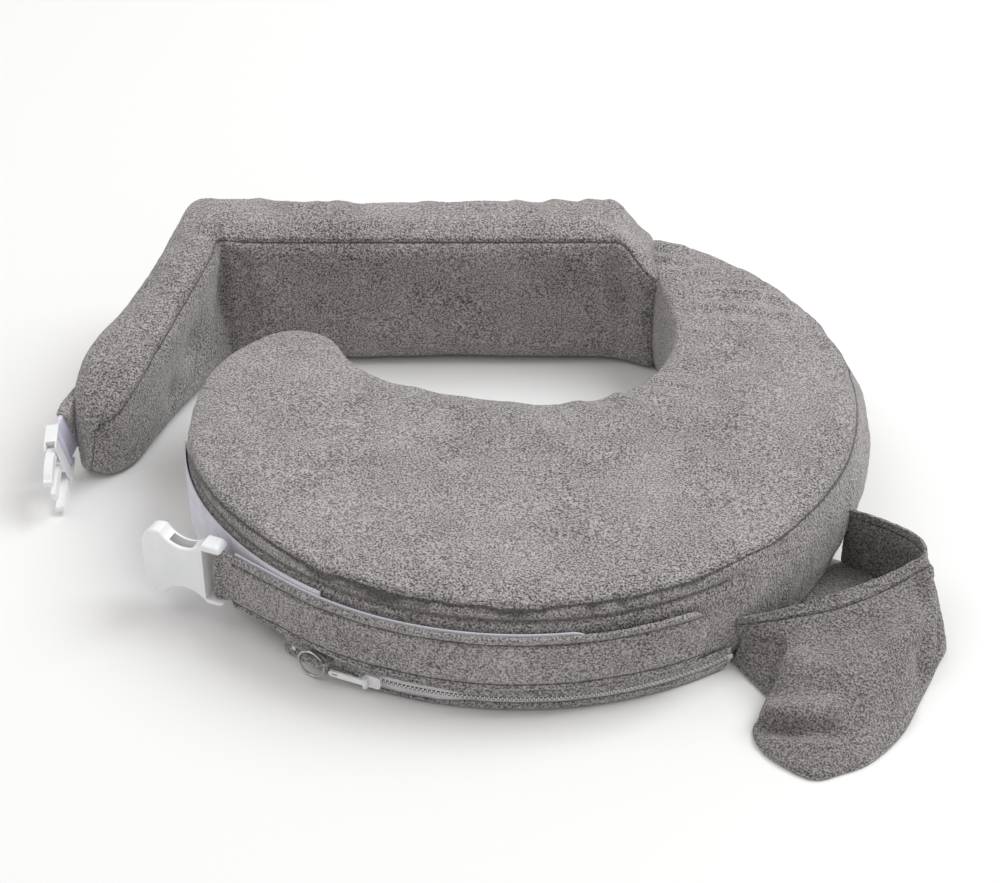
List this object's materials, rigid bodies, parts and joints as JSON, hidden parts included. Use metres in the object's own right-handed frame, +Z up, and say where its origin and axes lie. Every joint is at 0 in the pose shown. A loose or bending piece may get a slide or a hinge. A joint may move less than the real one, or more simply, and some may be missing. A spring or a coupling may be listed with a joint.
{
  "type": "nursing pillow",
  "caption": "Wrap-around nursing pillow: firm crescent, taller hinged backrest and wing, adjustable waist strap with side-release buckle, zipper and drink pocket.",
  "frame": {"origin": "middle of the bounding box at the surface the pillow stands on", "axes": "+Z up, +X from the buckle side to the pocket side along the backrest, +Y from the front strap to the backrest"},
  "size_m": [0.7014, 0.586, 0.13],
  "materials": {
    "terry": "matte",
    "foam": "matte",
    "woven_loop": "matte",
    "hook_tape": "matte",
    "webbing": "satin",
    "zipper_tape": "matte",
    "zipper_teeth": "satin",
    "buckle": "satin",
    "slider_metal": "gloss",
    "ring_steel": "polished"
  },
  "bodies": {
    "pillow": {"pillow_foam": "foam", "cover_top_panel": "terry", "cover_side_band": "terry", "cover_bottom_panel": "terry", "neck_fold_welt": "terry", "loop_panel": "woven_loop", "zipper_tape_upper": "zipper_tape", "zipper_tape_lower": "zipper_tape", "zipper_coil": "zipper_teeth", "zipper_stops": "zipper_teeth", "keeper_tab": "terry", "pocket_hem": "terry", "pocket_panel": "terry", "pocket_bottom": "terry"},
    "backrest": {"backrest_foam": "foam", "backrest_top_panel": "terry", "backrest_cover": "terry", "wing_fold_welt": "terry"},
    "wing": {"wing_foam": "foam", "wing_top_panel": "terry", "wing_cover": "terry", "rear_strap_cover": "terry", "rear_strap_webbing": "webbing"},
    "front_strap": {"strap_cover": "terry", "strap_hook_tape": "hook_tape", "strap_buckle_loop": "webbing"},
    "socket": {"buckle_socket": "buckle"},
    "plug": {"buckle_plug": "buckle"},
    "upper_arm": {"release_arm_upper": "buckle"},
    "lower_arm": {"release_arm_lower": "buckle"},
    "slider": {"zipper_slider": "slider_metal"},
    "pull": {"zipper_pull": "slider_metal"},
    "ring": {"keeper_ring": "ring_steel"}
  },
  "joints": [
    {"name": "backrest_fold", "type": "hinge", "parent": "pillow", "child": "backrest", "pos_m": [0.14463, 0.28997, 0], "axis": [0, 0, 1], "range_deg": [-100, 0]},
    {"name": "wing_fold", "type": "hinge", "parent": "backrest", "child": "wing", "pos_m": [-0.25987, 0.28997, 0], "axis": [0, 0, 1], "range_deg": [-73, 0]},
    {"name": "strap_adjust", "type": "hinge", "parent": "pillow", "child": "front_strap", "pos_m": [0.02713, 0.04712, 0], "axis": [0, 0, 1], "range_deg": [-12, 0]},
    {"name": "socket_swing", "type": "hinge", "parent": "front_strap", "child": "socket", "pos_m": [-0.19576, -0.12772, 0.048], "axis": [0, 0, 1], "range_deg": [-25, 25]},
    {"name": "plug_swing", "type": "hinge", "parent": "wing", "child": "plug", "pos_m": [-0.34304, 0.043, 0.03779], "axis": [-0.1034, -0.326, 0.9397], "range_deg": [-30, 25]},
    {"name": "upper_arm_press", "type": "hinge", "parent": "plug", "child": "upper_arm", "pos_m": [-0.34451, 0.02201, 0.0495], "axis": [0.9943, -0.0108, 0.1057], "range_deg": [0, 6], "stiffness_Nm_per_rad": 0.6},
    {"name": "lower_arm_press", "type": "hinge", "parent": "plug", "child": "lower_arm", "pos_m": [-0.34079, 0.03375, 0.01567], "axis": [-0.9943, 0.0108, -0.1057], "range_deg": [0, 6], "stiffness_Nm_per_rad": 0.6},
    {"name": "zipper_slide", "type": "hinge", "parent": "pillow", "child": "slider", "pos_m": [0.02713, 0.04712, 0], "axis": [0, 0, 1], "range_deg": [0, 45]},
    {"name": "pull_flip", "type": "hinge", "parent": "slider", "child": "pull", "pos_m": [-0.08546, -0.20661, 0.01], "axis": [0, 0, 1], "range_deg": [0, 90]},
    {"name": "ring_swing", "type": "hinge", "parent": "pillow", "child": "ring", "pos_m": [-0.11718, -0.194, 0.0185], "axis": [-0.8581, 0.5135, 0], "range_deg": [-20, 20]}
  ]
}
